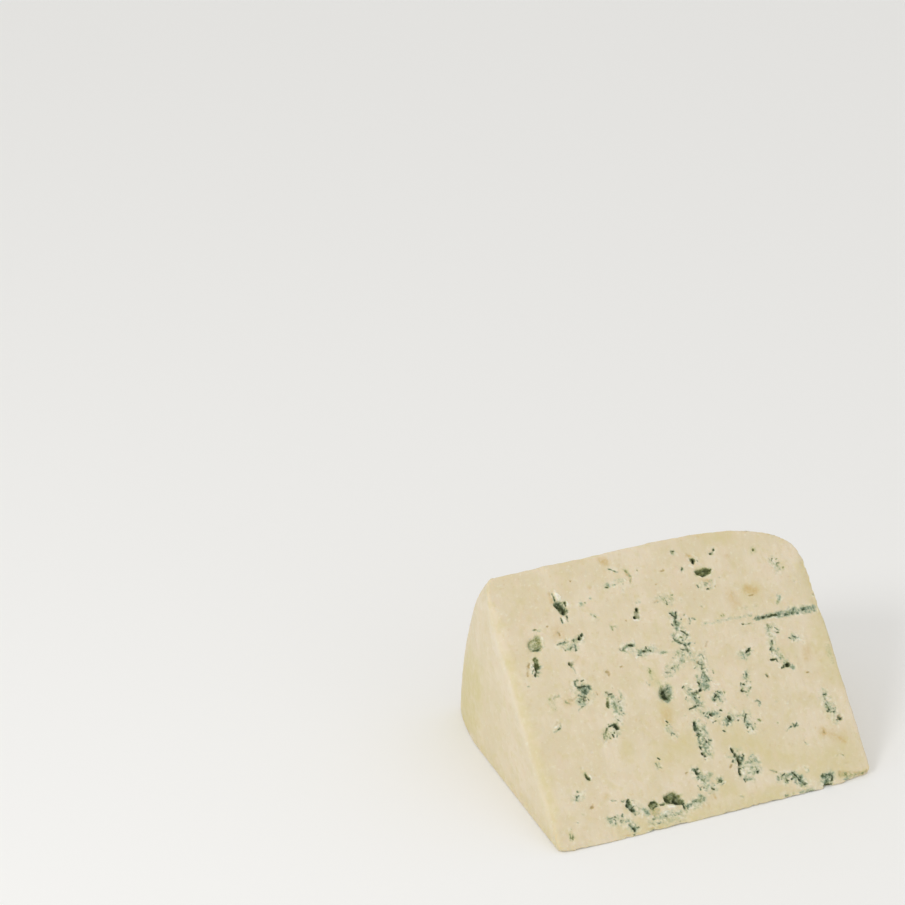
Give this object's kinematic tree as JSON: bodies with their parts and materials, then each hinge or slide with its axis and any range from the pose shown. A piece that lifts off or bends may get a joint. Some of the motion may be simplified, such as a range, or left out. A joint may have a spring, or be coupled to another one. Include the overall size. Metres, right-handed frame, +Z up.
{
  "type": "blue cheese wedge",
  "caption": "Loose wedge of creamy blue-veined cheese cut from a low round wheel, lying on one of its two cut faces with the veined cut face up.",
  "frame": {"origin": "middle of the base of the wedge's own box, at the level of the face it lies on", "axes": "+X along the sharp axis edge, from one flat face of the wheel to the other; +Y from the sharp edge in front to the rim behind; +Z up"},
  "size_m": [0.1, 0.082, 0.0589],
  "materials": {
    "paste": "soft, moist, slightly translucent creamy ivory cheese paste, satin where the knife dragged over it, crumbly along its lower edges, with blue-green mould in its hollows and veins"
  },
  "bodies": {
    "root": {"cheese_wedge": "paste"}
  },
  "joints": []
}
